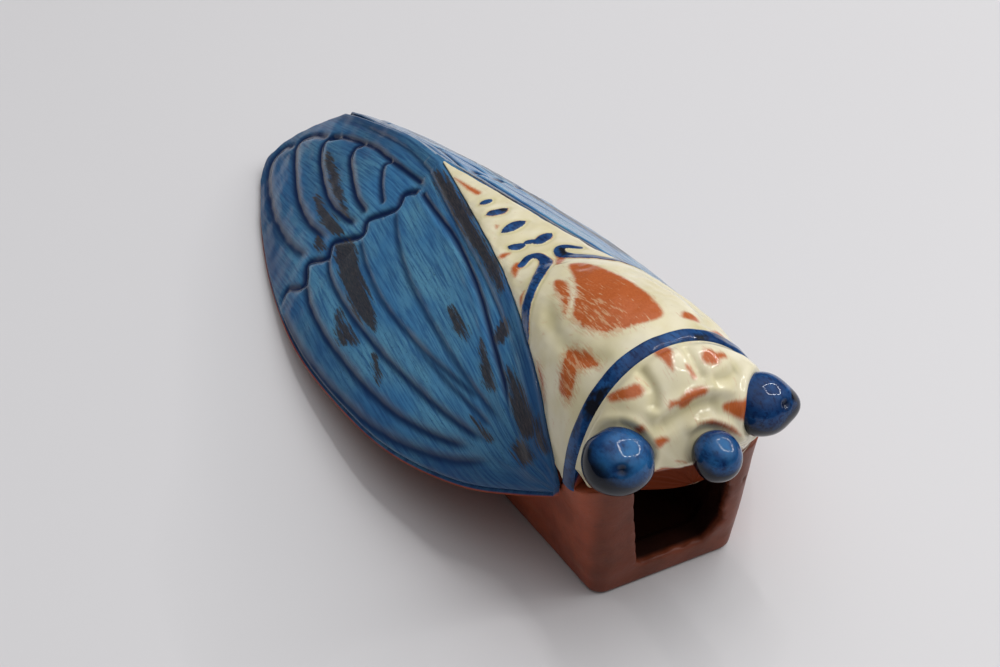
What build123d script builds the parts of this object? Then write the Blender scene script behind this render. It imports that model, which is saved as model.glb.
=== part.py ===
from build123d import *
from bisect import bisect_right
from math import cos, pi, radians, sin
import os

# A glazed terracotta cicada that is a wall pocket: a vase whose mouth is under the head. It is modelled
# lying on its flat back. +Z points away from the wall, -Y points to the head and the mouth, and all but
# the eyes is the same left and right of the YZ plane. The origin is the middle of the underside.
# All sizes are in millimetres.

# Driving dimensions of the pocket box.
LIP_HEIGHT = 40.0
BOX_FRONT_Y = -101.2
BOX_HEIGHT = 64.0
BOX_DRAFT = 8.0
BOX_FRONT_HALF = 21.4
BOX_MIDDLE_HALF = 28.0
BOX_MIDDLE_START = -20.0
BOX_MIDDLE_END = 22.0
BOX_TAIL_HALF = 15.0
BOX_TAIL_Y = 84.0
BOX_CORNER = 4.0
WALL = 8.0
FLOOR = 6.5
FOOT_CHAMFER = 1.0
MOUTH_OUTLINE = [(-9.8, 7.6), (11.5, 7.4), (16, 14), (15.6, 41), (-14.5, 41)]
MOUTH_CORNER = 2.5
NAIL_HOLE_RADIUS = 3.0
NAIL_HOLE_Y = -66.0
JOINT_GAP = 0.3

# The head, a blunt egg that grows out of the collar, undercut down to the lip.
HEAD_BACK = -96.0
HEAD_LENGTH = 21.0
HEAD_HALF_WIDTH = 29.8
HEAD_TOP = 75.5
HEAD_BLUNTNESS = 3.0
LIP_MIDDLE_Y = -111.5
LIP_CORNER = (25.5, -102.0)
LIP_BACK = (32.0, -84.0)
LIP_FLARE = 19.0
EDGE_BELOW_LIP = 1.0
NOSE_TURN = 86.0

# The body behind the collar, down to the point of the abdomen: (place along Y, size) stations.
BODY_POINT = 33.4
BODY_HALF_WIDTH = [(-96, 29.8), (-86, 28), (-75, 25), (-54, 19.3), (-31, 13), (0, 6.6), (33.4, 0.3)]
BODY_EDGE_HEIGHT = [(-96, 39), (-86, 48), (-72, 56), (-54, 59.3), (-31, 58.7), (0, 55.6), (33.4, 51.7)]
BODY_TOP_HEIGHT = [(-96, 75.5), (-82, 75.5), (-66, 72.5), (-50, 68), (-36, 62.5), (0, 57), (33.4, 51.9)]
ABDOMEN_START = -34.0
COLLAR_WIDTH = 4.6
COLLAR_LIFT = 0.8
COLLAR_TOP = (0, -94.4, 75.0)
COLLAR_LEAN = 9.0

# The wings, from beside the head to the tail.
WING_FRONT = -95.0
WING_END = 131.0
WING_HALF_WIDTH = [
    (-97, 30.4), (-86, 37), (-76, 43.8), (-60, 49.2), (-40, 54.3), (-10, 56.4), (23, 55.3), (60, 48.5),
    (92, 39.2), (117, 29.4), (131, 24),
]
RIM_HEIGHT = [
    (-97, 38.5), (-86, 32.8), (-76, 29), (-58, 22.5), (-40, 18.5), (-10, 13), (23, 8), (60, 3.9), (117, 2.2),
    (131, 2.2),
]
RIDGE_HEIGHT = [(33.4, 51.7), (55, 47.3), (80, 38), (103, 27.2), (131, 12.5)]
WING_BULGE = 0.15
RIM_BAND = 1.5
WING_BLANK_HALF = 64.0
WING_BLANK_FRONT = -100.0
WING_TIP = [(0, 103.5), (6.2, 115.5), (12, 122.5), (19, 126), (25.5, 123.6), (29.6, 116.5)]

# The hollow under the body and the wings.
HOLLOW_FRONT = -107.0
HOLLOW_END = 136.0
HOLLOW_END_HEIGHT = 0.5
HOLLOW_SINK = 2.0
UNDER_LIP_BACK = -98.5
UNDER_RIM_FRONT = -92.0
HOLLOW_HALF_WIDTH = [
    (-107, 20), (-96, 22.5), (-85, 28), (-70, 38), (-50, 44.5), (-20, 48.5), (10, 48.5), (45, 44),
    (80, 35.5), (117, 23), (136, 17),
]
HOLLOW_TOP = [
    (-107, 58), (-96, 66), (-82, 66.5), (-66, 63), (-50, 58.5), (-36, 53.5), (0, 48), (33.4, 43),
    (55, 38.3), (80, 29.3), (103, 18.5), (136, 3),
]
HOLLOW_ROUNDNESS = [(-107, 2.0), (-60, 1.6), (-20, 1.25), (136, 1.25)]
HOLLOW_STEEPNESS = [(-107, 0.5), (-60, 0.8), (-20, 1.0), (136, 1.0)]

# The balls of clay on the head. The right eye sits a little further in than the left, and the poles of
# each eye's sphere lie clear of its socket.
EYE_RADIUS = 9.0
LEFT_EYE_CENTRE = (-22.1, -110.3, 58.1)
RIGHT_EYE_CENTRE = (19.8, -110.3, 57.9)
EYE_OUTWARD = (0.45, -0.6, 0.66)
EYE_POLE = (0.8, 0.6, 0)
SNOUT_RADIUS = 6.2
SNOUT_HEIGHT = 57.5
SNOUT_TIP = -126.0
SNOUT_ROOT = -110.0
SNOUT_ROUNDING = 5.9

DEEP = 150.0


def follow(stations, place):
    """The value at a place on the smooth curve through (place, value) stations."""
    places = [station[0] for station in stations]
    values = [station[1] for station in stations]
    first = min(max(bisect_right(places, place) - 1, 0), len(places) - 2)
    last_span = len(places) - 2
    steps = [(values[i + 1] - values[i]) / (places[i + 1] - places[i]) for i in range(last_span + 1)]
    slope_in = (steps[max(first - 1, 0)] + steps[first]) / 2
    slope_out = (steps[first] + steps[min(first + 1, last_span)]) / 2
    span = places[first + 1] - places[first]
    t = min(max((place - places[first]) / span, 0.0), 1.0)
    keep = 1 - 3 * t**2 + 2 * t**3
    return (
        keep * values[first]
        + (1 - keep) * values[first + 1]
        + span * slope_in * t * (1 - t) ** 2
        - span * slope_out * t**2 * (1 - t)
    )


def spread(start, end, count):
    """Evenly spaced numbers from start to end, both included."""
    return [start + (end - start) * i / (count - 1) for i in range(count)]


def body_section(y):
    """The half width, the edge height and the top height of the body's arch at a place."""
    if y > HEAD_BACK:
        stations = (BODY_HALF_WIDTH, BODY_EDGE_HEIGHT, BODY_TOP_HEIGHT)
        return [follow(station, y) for station in stations]
    reach = 1 - ((HEAD_BACK - y) / HEAD_LENGTH) ** HEAD_BLUNTNESS
    edge = LIP_HEIGHT - EDGE_BELOW_LIP
    return HEAD_HALF_WIDTH * reach**0.5, edge, edge + (HEAD_TOP - edge) * reach**0.5


def body_point(angle, y, lift=0.0):
    """A point of the body's arched top; the angle runs from one edge, -90 degrees, to the other."""
    half, edge, top = body_section(y)
    return Vector(half * sin(angle), y, edge + (top - edge) * cos(angle) + lift)


def wing_point(across, y):
    """A point of the right wing's top; across runs from 0 at the inner edge to 1 at the rim."""
    inner = JOINT_GAP / 2
    ridge = follow(RIDGE_HEIGHT, y)
    if y < BODY_POINT:
        inner += follow(BODY_HALF_WIDTH, y)
        ridge = follow(BODY_EDGE_HEIGHT, y)
    rim = follow(RIM_HEIGHT, y)
    fall = (1 - WING_BULGE) * across + WING_BULGE * across**3
    half = follow(WING_HALF_WIDTH, y)
    return Vector(inner + across * (half - inner), y, rim + (ridge - rim) * (1 - fall))


def hollow_point(side, y):
    """A point of the hollow's ceiling; side runs from -1 to 1 across the insect."""
    half = follow(HOLLOW_HALF_WIDTH, y)
    floor = follow(RIM_HEIGHT, y) - RIM_BAND - HOLLOW_SINK
    arch = max(1 - abs(side) ** follow(HOLLOW_ROUNDNESS, y), 0.0) ** follow(HOLLOW_STEEPNESS, y)
    return Vector(half * side, y, floor + (follow(HOLLOW_TOP, y) - floor) * arch)


def surface(point, columns, rows):
    """A smooth face through point(column, row) for every column and row."""
    return Face.make_surface_from_array_of_points([[point(c, r) for r in rows] for c in columns])


def under(face):
    """Everything below a face, as a solid."""
    return Solid.extrude(face, Vector(0, 0, -DEEP))


def collar_plane(distance):
    """The plane of the collar's arch, moved a distance towards the tail."""
    lean = radians(COLLAR_LEAN)
    return Plane(COLLAR_TOP, x_dir=(1, 0, 0), z_dir=(0, cos(lean), -sin(lean))).offset(distance)


def end_wall_face(y, toward):
    """The inner face of an end wall that leans out with the box's draft; toward is -1 at the mouth."""
    lean = radians(BOX_DRAFT)
    inner_y = y - toward * WALL / cos(lean)
    return Plane((0, inner_y, 0), x_dir=(1, 0, 0), z_dir=(0, -toward * cos(lean), sin(lean)))


# The hollow: an arched space under the top, and everything below the level of the lip and the rims.
arch_angles = spread(-pi / 2, pi / 2, 15)
hollow_ceiling = surface(
    lambda angle, y: hollow_point(sin(angle), y), arch_angles, spread(HOLLOW_FRONT, HOLLOW_END, 25)
)
with BuildPart() as hollow:
    with BuildSketch(Plane.YZ) as below_rims:
        with BuildLine():
            rim_line = Spline(
                [(y, follow(RIM_HEIGHT, y) - RIM_BAND) for y in spread(UNDER_RIM_FRONT, WING_END, 12)]
            )
            Polyline(
                rim_line @ 1, (HOLLOW_END, HOLLOW_END_HEIGHT), (HOLLOW_END, -DEEP), (-DEEP, -DEEP),
                (-DEEP, LIP_HEIGHT), (UNDER_LIP_BACK, LIP_HEIGHT), rim_line @ 0,
            )
        make_face()
    extrude(amount=DEEP / 2, both=True)
    add(under(hollow_ceiling))

# The body's shell, before it is divided. Its rows close up where the head curves over.
head_turns = spread(radians(NOSE_TURN), 0, 12)
body_rows = [HEAD_BACK - HEAD_LENGTH * sin(turn) for turn in head_turns]
body_rows += spread(HEAD_BACK, BODY_POINT - 1, 22)[1:]
body_top = surface(body_point, arch_angles, body_rows)
with BuildPart() as body_shell:
    add(under(body_top))
    add(hollow.part, mode=Mode.SUBTRACT)

# The balls of clay that are the eyes and the snout.
with BuildPart(Plane(RIGHT_EYE_CENTRE, x_dir=EYE_OUTWARD, z_dir=EYE_POLE)) as right_eye:
    Sphere(EYE_RADIUS)

with BuildPart(Plane(LEFT_EYE_CENTRE, x_dir=EYE_OUTWARD, z_dir=EYE_POLE)) as left_eye:
    Sphere(EYE_RADIUS)

with BuildPart() as snout:
    with BuildSketch(Plane.XZ.offset(-SNOUT_ROOT)):
        with Locations((0, SNOUT_HEIGHT)):
            Circle(SNOUT_RADIUS)
    extrude(amount=SNOUT_ROOT - SNOUT_TIP)
    fillet(faces().sort_by(Axis.Y)[0].edges(), SNOUT_ROUNDING)

# The head: the body in front of the collar, flared up from the lip, with a socket for each ball.
with BuildPart() as head_shield:
    add(body_shell.part)
    split(bisect_by=collar_plane(-COLLAR_WIDTH / 2), keep=Keep.BOTTOM)
    with BuildSketch(Plane.XY.offset(LIP_HEIGHT)) as lip_plan:
        with BuildLine():
            corner_x, corner_y = LIP_CORNER
            back_x, back_y = LIP_BACK
            ThreePointArc((-corner_x, corner_y), (0, LIP_MIDDLE_Y), (corner_x, corner_y))
            Polyline(
                (corner_x, corner_y), (back_x, back_y), (-back_x, back_y), (-corner_x, corner_y)
            )
        make_face()
    extrude(amount=BOX_HEIGHT, taper=-LIP_FLARE, mode=Mode.INTERSECT)
    for ball in (left_eye, right_eye, snout):
        add(ball.part, mode=Mode.SUBTRACT)

# The raised collar, an arch that stands a little proud between the head and the thorax.
collar_top = surface(lambda angle, y: body_point(angle, y, COLLAR_LIFT), arch_angles, body_rows)
with BuildPart() as collar:
    add(under(collar_top))
    add(hollow.part, mode=Mode.SUBTRACT)
    split(bisect_by=collar_plane(-COLLAR_WIDTH / 2), keep=Keep.TOP)
    split(bisect_by=collar_plane(COLLAR_WIDTH / 2), keep=Keep.BOTTOM)

# The domed thorax behind the collar, and the long triangle of the abdomen behind that.
with BuildPart() as thorax:
    add(body_shell.part)
    split(bisect_by=collar_plane(COLLAR_WIDTH / 2), keep=Keep.TOP)
    split(bisect_by=Plane.XZ.offset(-ABDOMEN_START), keep=Keep.TOP)

with BuildPart() as abdomen:
    add(body_shell.part)
    split(bisect_by=Plane.XZ.offset(-ABDOMEN_START), keep=Keep.BOTTOM)

# The wings: a steep shell each side, cut to a rounded tip at the tail.
wing_top = surface(wing_point, spread(0, 1, 7), spread(WING_FRONT, WING_END, 24))
with BuildPart() as right_wing:
    add(under(wing_top))
    add(hollow.part, mode=Mode.SUBTRACT)
    with BuildSketch(Plane.XY) as wing_plan:
        with BuildLine():
            tip = Spline(WING_TIP)
            Polyline(
                tip @ 1, (WING_BLANK_HALF, WING_TIP[-1][1]), (WING_BLANK_HALF, WING_BLANK_FRONT),
                (0, WING_BLANK_FRONT), tip @ 0,
            )
        make_face()
    extrude(amount=BOX_HEIGHT, mode=Mode.INTERSECT)

with BuildPart() as left_wing:
    add(mirror(right_wing.part, about=Plane.YZ))

# The pocket box: its outside, its inside, and then the slab and the walls cut from the two.
with BuildSketch() as box_plan:
    with BuildLine():
        Polyline(
            (-BOX_FRONT_HALF, BOX_FRONT_Y), (BOX_FRONT_HALF, BOX_FRONT_Y),
            (BOX_MIDDLE_HALF, BOX_MIDDLE_START), (BOX_MIDDLE_HALF, BOX_MIDDLE_END),
            (BOX_TAIL_HALF, BOX_TAIL_Y), (-BOX_TAIL_HALF, BOX_TAIL_Y),
            (-BOX_MIDDLE_HALF, BOX_MIDDLE_END), (-BOX_MIDDLE_HALF, BOX_MIDDLE_START),
            close=True,
        )
    make_face()

with BuildSketch() as rounded_plan:
    add(box_plan.sketch)
    fillet(vertices(), BOX_CORNER)

with BuildPart() as box_outside:
    add(rounded_plan.sketch)
    extrude(amount=BOX_HEIGHT, taper=-BOX_DRAFT)

with BuildSketch() as inside_plan:
    add(box_plan.sketch)
    offset(amount=-WALL, kind=Kind.INTERSECTION)

with BuildPart() as box_inside:
    add(inside_plan.sketch)
    extrude(amount=BOX_HEIGHT, taper=-BOX_DRAFT)

with BuildPart() as back_slab:
    add(box_outside.part)
    split(bisect_by=Plane.XY.offset(FLOOR), keep=Keep.BOTTOM)
    with Locations((0, NAIL_HOLE_Y, FLOOR)):
        Hole(NAIL_HOLE_RADIUS, depth=FLOOR)
    chamfer(faces().sort_by(Axis.Z)[0].outer_wire().edges(), FOOT_CHAMFER)

with BuildPart() as box_walls:
    add(box_outside.part)
    add(box_inside.part, mode=Mode.SUBTRACT)
    split(bisect_by=Plane.XY.offset(FLOOR), keep=Keep.TOP)

# The mouth wall, level with the lip, with the mouth cut out of it from above.
with BuildPart() as mouth_wall:
    add(box_walls.part)
    split(bisect_by=end_wall_face(BOX_FRONT_Y, -1), keep=Keep.BOTTOM)
    split(bisect_by=Plane.XY.offset(LIP_HEIGHT), keep=Keep.BOTTOM)
    with BuildSketch(Plane.XZ) as mouth:
        with BuildLine():
            Polyline(MOUTH_OUTLINE, close=True)
        make_face()
        fillet(mouth.vertices().sort_by(Axis.Y)[:3], MOUTH_CORNER)
    extrude(amount=DEEP, mode=Mode.SUBTRACT)

# The side walls and the tail wall rise to the underside of the body and the wings.
with BuildPart() as rear_walls:
    add(box_walls.part)
    add(hollow.part, mode=Mode.INTERSECT)
    split(bisect_by=end_wall_face(BOX_FRONT_Y, -1), keep=Keep.TOP)

with BuildPart() as tail_wall:
    add(rear_walls.part)
    split(bisect_by=end_wall_face(BOX_TAIL_Y, 1), keep=Keep.BOTTOM)

with BuildPart() as side_walls:
    add(rear_walls.part)
    split(bisect_by=end_wall_face(BOX_TAIL_Y, 1), keep=Keep.TOP)

with BuildPart() as left_wall:
    add(side_walls.part)
    split(bisect_by=Plane.YZ, keep=Keep.BOTTOM)

with BuildPart() as right_wall:
    add(side_walls.part)
    split(bisect_by=Plane.YZ, keep=Keep.TOP)

pieces = {
    "back_slab": back_slab,
    "mouth_wall": mouth_wall,
    "left_wall": left_wall,
    "right_wall": right_wall,
    "tail_wall": tail_wall,
    "left_wing": left_wing,
    "right_wing": right_wing,
    "abdomen": abdomen,
    "thorax": thorax,
    "collar": collar,
    "head_shield": head_shield,
    "left_eye": left_eye,
    "right_eye": right_eye,
    "snout": snout,
}
os.makedirs("parts", exist_ok=True)
for name, piece in pieces.items():
    piece.part.label = name
    export_step(piece.part, f"parts/{name}.step")
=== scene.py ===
from math import cos, pi, radians, sin, tan

import bmesh
import bpy
import numpy as np
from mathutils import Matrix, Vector


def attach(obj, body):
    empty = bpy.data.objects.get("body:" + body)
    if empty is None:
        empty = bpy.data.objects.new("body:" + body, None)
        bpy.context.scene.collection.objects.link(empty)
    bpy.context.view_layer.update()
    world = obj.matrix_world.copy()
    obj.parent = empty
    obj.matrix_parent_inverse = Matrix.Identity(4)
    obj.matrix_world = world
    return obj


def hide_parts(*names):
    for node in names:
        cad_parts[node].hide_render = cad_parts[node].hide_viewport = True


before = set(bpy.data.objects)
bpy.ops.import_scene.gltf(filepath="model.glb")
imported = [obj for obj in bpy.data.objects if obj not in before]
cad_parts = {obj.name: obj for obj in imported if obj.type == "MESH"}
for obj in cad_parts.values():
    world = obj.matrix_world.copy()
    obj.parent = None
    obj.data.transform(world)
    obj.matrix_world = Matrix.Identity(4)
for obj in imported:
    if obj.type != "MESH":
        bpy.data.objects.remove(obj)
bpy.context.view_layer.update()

MM = 0.001

# ---------------------------------------------------------------------------------------------------
# The CAD part's driving values, in millimetres. Each list is of (place along Y, size).
BODY_POINT = 33.4
BODY_HALF_WIDTH = [(-96, 29.8), (-86, 28), (-75, 25), (-54, 19.3), (-31, 13), (0, 6.6), (33.4, 0.3)]
BODY_EDGE_HEIGHT = [(-96, 39), (-86, 48), (-72, 56), (-54, 59.3), (-31, 58.7), (0, 55.6), (33.4, 51.7)]
BODY_TOP_HEIGHT = [(-96, 75.5), (-82, 75.5), (-66, 72.5), (-50, 68), (-36, 62.5), (0, 57), (33.4, 51.9)]
WING_FRONT = -95.0
WING_HALF_WIDTH = [
    (-97, 30.4), (-86, 37), (-76, 43.8), (-60, 49.2), (-40, 54.3), (-10, 56.4), (23, 55.3), (60, 48.5),
    (92, 39.2), (117, 29.4), (131, 24),
]
RIM_HEIGHT = [
    (-97, 38.5), (-86, 32.8), (-76, 29), (-58, 22.5), (-40, 18.5), (-10, 13), (23, 8), (60, 3.9), (117, 2.2),
    (131, 2.2),
]
RIDGE_HEIGHT = [(33.4, 51.7), (55, 47.3), (80, 38), (103, 27.2), (131, 12.5)]
WING_BULGE = 0.15
RIM_BAND = 1.5
JOINT_GAP = 0.3
# The wing's tail edge, (place across, place along Y). It reaches up to 2.5 mm further back than the CAD's
# near the middle.
WING_TIP = [(0, 106), (6.2, 117), (12, 123.2), (19, 125.9), (25.5, 123.2), (29.6, 116.5)]
# The hollow under the shells, again as (place along Y, size).
HOLLOW_HALF_WIDTH = [
    (-107, 20), (-96, 22.5), (-85, 28), (-70, 38), (-50, 44.5), (-20, 48.5), (10, 48.5), (45, 44),
    (80, 35.5), (117, 23), (136, 17),
]
HOLLOW_TOP = [
    (-107, 58), (-96, 66), (-82, 66.5), (-66, 63), (-50, 58.5), (-36, 53.5), (0, 48), (33.4, 43),
    (55, 38.3), (80, 29.3), (103, 18.5), (136, 3),
]
HOLLOW_ROUNDNESS = [(-107, 2.0), (-60, 1.6), (-20, 1.25), (136, 1.25)]
HOLLOW_STEEPNESS = [(-107, 0.5), (-60, 0.8), (-20, 1.0), (136, 1.0)]

HEAD_BACK = -96.0
HEAD_LENGTH = 21.0
HEAD_HALF_WIDTH = 29.8
HEAD_TOP = 75.5
LIP_HEIGHT = 40.0
LIP_MIDDLE_Y = -111.5
LIP_CORNER = (25.5, -102.0)
LIP_BACK = (32.0, -84.0)
LIP_FLARE = 19.0
ABDOMEN_START = -34.0
COLLAR_WIDTH = 4.6
COLLAR_TOP = (0, -94.4, 75.0)
COLLAR_LEAN = 9.0
EYE_RADIUS = 9.0
LEFT_EYE_CENTRE = (-22.1, -110.3, 58.1)
RIGHT_EYE_CENTRE = (19.8, -110.3, 57.9)
SNOUT_RADIUS = 6.2
SNOUT_CENTRE = (0, -119.2, 57.5)


def follow(stations, place):
    """The value at each place on the smooth curve through (place, value) stations."""
    places, values = np.array(stations, float).T
    first = np.clip(np.searchsorted(places, place, "right") - 1, 0, len(places) - 2)
    steps = np.diff(values) / np.diff(places)
    slopes = np.concatenate([steps[:1], (steps[1:] + steps[:-1]) / 2, steps[-1:]])
    span = places[first + 1] - places[first]
    t = np.clip((place - places[first]) / span, 0, 1)
    keep = 1 - 3 * t**2 + 2 * t**3
    return (
        keep * values[first]
        + (1 - keep) * values[first + 1]
        + span * slopes[first] * t * (1 - t) ** 2
        - span * slopes[first + 1] * t**2 * (1 - t)
    )


def smooth_step(low, high, value):
    t = np.clip((value - low) / (high - low), 0, 1)
    return t * t * (3 - 2 * t)


def bump(distance, width):
    """A smooth hump, 1 at no distance."""
    return np.exp(-((distance / width) ** 2))


# ---------------------------------------------------------------------------------------------------
# The surfaces. Each takes two arrays of parameters and gives points.
def wing_point(across, y):
    """The right wing's top; across runs from 0 at the inner edge to 1 at the rim."""
    on_body = y < BODY_POINT
    inner = JOINT_GAP / 2 + np.where(on_body, follow(BODY_HALF_WIDTH, y), 0)
    ridge = np.where(on_body, follow(BODY_EDGE_HEIGHT, y), follow(RIDGE_HEIGHT, y))
    rim = follow(RIM_HEIGHT, y)
    fall = (1 - WING_BULGE) * across + WING_BULGE * across**3
    x = inner + across * (follow(WING_HALF_WIDTH, y) - inner)
    return np.stack([x, y, rim + (ridge - rim) * (1 - fall)], -1)


def body_point(angle, y):
    """The body's arched top behind the head; the angle is in degrees from -90 to 90."""
    turn = np.radians(angle)
    narrow = np.sqrt(1 - np.maximum((HEAD_BACK - y) / HEAD_LENGTH, 0) ** 3)
    edge = follow(BODY_EDGE_HEIGHT, y)
    top = edge + (follow(BODY_TOP_HEIGHT, y) - edge) * narrow
    x = follow(BODY_HALF_WIDTH, y) * narrow * np.sin(turn)
    return np.stack([x, y + 0 * turn, edge + (top - edge) * np.cos(turn)], -1)


def ceiling_height(points):
    """The height of the hollow's ceiling over or under each point."""
    x, y, _ = np.moveaxis(points, -1, 0)
    half = follow(HOLLOW_HALF_WIDTH, y)
    floor = follow(RIM_HEIGHT, y) - RIM_BAND
    inside = np.maximum(1 - (np.abs(x) / half) ** follow(HOLLOW_ROUNDNESS, y), 0)
    arch = inside ** follow(HOLLOW_STEEPNESS, y)
    return np.maximum(floor, floor - 2 + (follow(HOLLOW_TOP, y) - floor + 2) * arch)


def collar_edge(angle, distance):
    """Where the collar's leaning plane, moved a distance towards the tail, cuts the body."""
    lean = radians(COLLAR_LEAN)
    y = np.full(np.shape(angle), COLLAR_TOP[1] + distance)
    for _ in range(12):
        height = body_point(angle, y)[..., 2]
        y = COLLAR_TOP[1] + (distance + sin(lean) * (height - COLLAR_TOP[2])) / cos(lean)
    return y


HEAD_EDGE = -COLLAR_WIDTH / 2
COLLAR_DROP = 35
COLLAR_FOOT = (HEAD_EDGE - sin(radians(COLLAR_LEAN)) * COLLAR_DROP) / cos(radians(COLLAR_LEAN))
HEAD_ORIGIN = np.array([0.0, COLLAR_TOP[1] + COLLAR_FOOT, LIP_HEIGHT])
LIP_ARC_Y = (LIP_CORNER[0] ** 2 + LIP_CORNER[1] ** 2 - LIP_MIDDLE_Y**2) / (2 * (LIP_CORNER[1] - LIP_MIDDLE_Y))
LIP_ARC_RADIUS = LIP_ARC_Y - LIP_MIDDLE_Y


def head_direction(angle, reach):
    """Directions out of the head's origin: angle as on the body, reach 0 at the collar and 90 at the lip."""
    turn, out = np.radians(angle), np.radians(reach)
    lean = radians(COLLAR_LEAN)
    x = np.cos(out) * np.sin(turn)
    y = np.cos(out) * np.cos(turn) * sin(lean) - np.sin(out)
    z = np.cos(out) * np.cos(turn) * cos(lean)
    return np.stack([x, y, z], -1)


def far_along(outside, direction):
    """How far along each direction the surface of a convex shape lies."""
    near, far = np.zeros(direction.shape[:-1]), np.full(direction.shape[:-1], 90.0)
    for _ in range(40):
        middle = (near + far) / 2
        out = outside(HEAD_ORIGIN + direction * middle[..., None]) > 0
        near, far = np.where(out, near, middle), np.where(out, middle, far)
    return near


def outside_egg(p):
    x, y, z = np.moveaxis(p, -1, 0)
    nose = np.maximum((HEAD_BACK - y) / HEAD_LENGTH, 0) ** 3
    height = HEAD_TOP - LIP_HEIGHT + 1
    return (x / HEAD_HALF_WIDTH) ** 2 + ((z - LIP_HEIGHT + 1) / height) ** 2 + nose - 1


def outside_flare(p):
    x, y, z = np.moveaxis(p, -1, 0)
    arc = np.hypot(x, y - LIP_ARC_Y) - LIP_ARC_RADIUS
    run_x, run_y = LIP_BACK[0] - LIP_CORNER[0], LIP_BACK[1] - LIP_CORNER[1]
    length = np.hypot(run_x, run_y)
    side = ((np.abs(x) - LIP_CORNER[0]) * run_y - (y - LIP_CORNER[1]) * run_x) / length
    return np.maximum(arc, side) - tan(radians(LIP_FLARE)) * (z - LIP_HEIGHT)


def head_point(angle, reach):
    """The head's egg, undercut towards the lip with a soft brow."""
    direction = head_direction(angle, reach)
    egg = far_along(outside_egg, direction)
    flare = far_along(outside_flare, direction)
    soft = 1.2
    radius = -soft * np.log(np.exp(-egg / soft) + np.exp(-flare / soft))
    radius += soft * np.log(2) * bump(egg - flare, 3)
    radius = np.minimum(radius, np.minimum(egg, flare))
    return HEAD_ORIGIN + direction * radius[..., None]


# ---------------------------------------------------------------------------------------------------
# Curves and patches drawn on a surface, and how far each point of a grid is from them.
def smooth_line(points, closed=False, steps=8):
    """A rounded line through given points, as an array of closely spaced parameters."""
    ring = np.array(points, float)
    before, after = (ring[-1:], ring[:2]) if closed else (ring[:1], ring[-1:])
    guide = np.concatenate([before, ring, after])
    count = len(ring) if closed else len(ring) - 1
    t = np.linspace(0, 1, steps, endpoint=False)[:, None]
    line = []
    for i in range(count):
        a, b, c, d = guide[i : i + 4]
        square, cube = 2 * a - 5 * b + 4 * c - d, 3 * b - a - 3 * c + d
        line.append(0.5 * (2 * b + (c - a) * t + square * t**2 + cube * t**3))
    line.append(ring[:1] if closed else ring[-1:])
    return np.concatenate(line)


def reach_line(points, normals, line, limit=12.0):
    """Each point's distance from a line in space, how far along it (0 to 1), and its side (+1 is left)."""
    shape = points.shape[:-1]
    flat, up = points.reshape(-1, 3), normals.reshape(-1, 3)
    low, high = line.min(0) - limit, line.max(0) + limit
    near = np.nonzero(((flat > low) & (flat < high)).all(1))[0]
    p, n = flat[near], up[near]
    best, along, side = np.full(len(near), limit), np.zeros(len(near)), np.ones(len(near))
    lengths = np.linalg.norm(np.diff(line, axis=0), axis=1)
    starts = np.concatenate([[0], np.cumsum(lengths)])
    for i, length in enumerate(lengths):
        if length < 1e-6:
            continue
        run = (line[i + 1] - line[i]) / length
        offset = p - line[i]
        t = np.clip(offset @ run, 0, length)
        distance = np.linalg.norm(offset - t[:, None] * run, axis=1)
        closer = distance < best
        best[closer] = distance[closer]
        along[closer] = (starts[i] + t[closer]) / starts[-1]
        side[closer] = np.sign((np.cross(run, offset[closer]) * n[closer]).sum(1))
    full = [np.full(len(flat), limit), np.zeros(len(flat)), np.ones(len(flat))]
    for values, found in zip(full, (best, along, side)):
        values[near] = found
    return [values.reshape(shape) for values in full]


def inside_outline(a, b, outline):
    """True where the parameters (a, b) are inside a closed outline."""
    result = np.zeros(np.shape(a), bool)
    for (a0, b0), (a1, b1) in zip(outline[:-1], outline[1:]):
        if b0 == b1:
            continue
        crosses = (b0 > b) != (b1 > b)
        result ^= crosses & (a < (a1 - a0) * (b - b0) / (b1 - b0) + a0)
    return result


class Sheet:
    """A grid of points on one of the surfaces, with the relief and the paint drawn on it so far."""

    def __init__(self, surface, a, b, flow):
        self.surface, self.a, self.b = surface, a, b
        self.base = surface(a, b)
        step_a = surface(a + 1e-3, b) - surface(a - 1e-3, b)
        step_b = surface(a, b + 1e-3) - surface(a, b - 1e-3)
        normal = np.cross(step_a, step_b)
        size = np.linalg.norm(normal, axis=-1, keepdims=True)
        self.normal = normal / np.maximum(size, 1e-12)
        self.height = np.zeros(a.shape)
        self.paint = {"flow": flow}

    def line(self, points, closed=False):
        """(distance, share along, side) from a line given as (place, angle or across) points."""
        track = smooth_line(points, closed)
        return reach_line(self.base, self.normal, self.surface(track[:, 1], track[:, 0]))

    def patch(self, points):
        """Distance outside (positive) or inside (negative) a closed outline of such points."""
        track = smooth_line(points, closed=True)
        distance = self.line(points, closed=True)[0]
        return np.where(inside_outline(self.b, self.a, track), -distance, distance)

    def stroke(self, points, widths):
        """Distance from a brush stroke whose half width changes along it."""
        distance, along, _ = self.line(points)
        places = np.linspace(0, 1, len(widths))
        return distance - np.interp(along, places, widths)

    def raised(self):
        return self.base + self.normal * self.height[..., None]


def nearest(distances, start=30.0):
    result = start
    for distance in distances:
        result = np.minimum(result, distance)
    return result


def wavy(a, b, size, seed):
    """Soft random waves of height about 1, whose crests lie about size apart."""
    waves = np.random.default_rng(seed)
    total = 0
    for _ in range(7):
        turn, phase = waves.uniform(0, 2 * pi, 2)
        pitch = size * waves.uniform(0.7, 1.5)
        total = total + np.sin(2 * pi * (a * cos(turn) + b * sin(turn)) / pitch + phase)
    return total / 7**0.5


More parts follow.
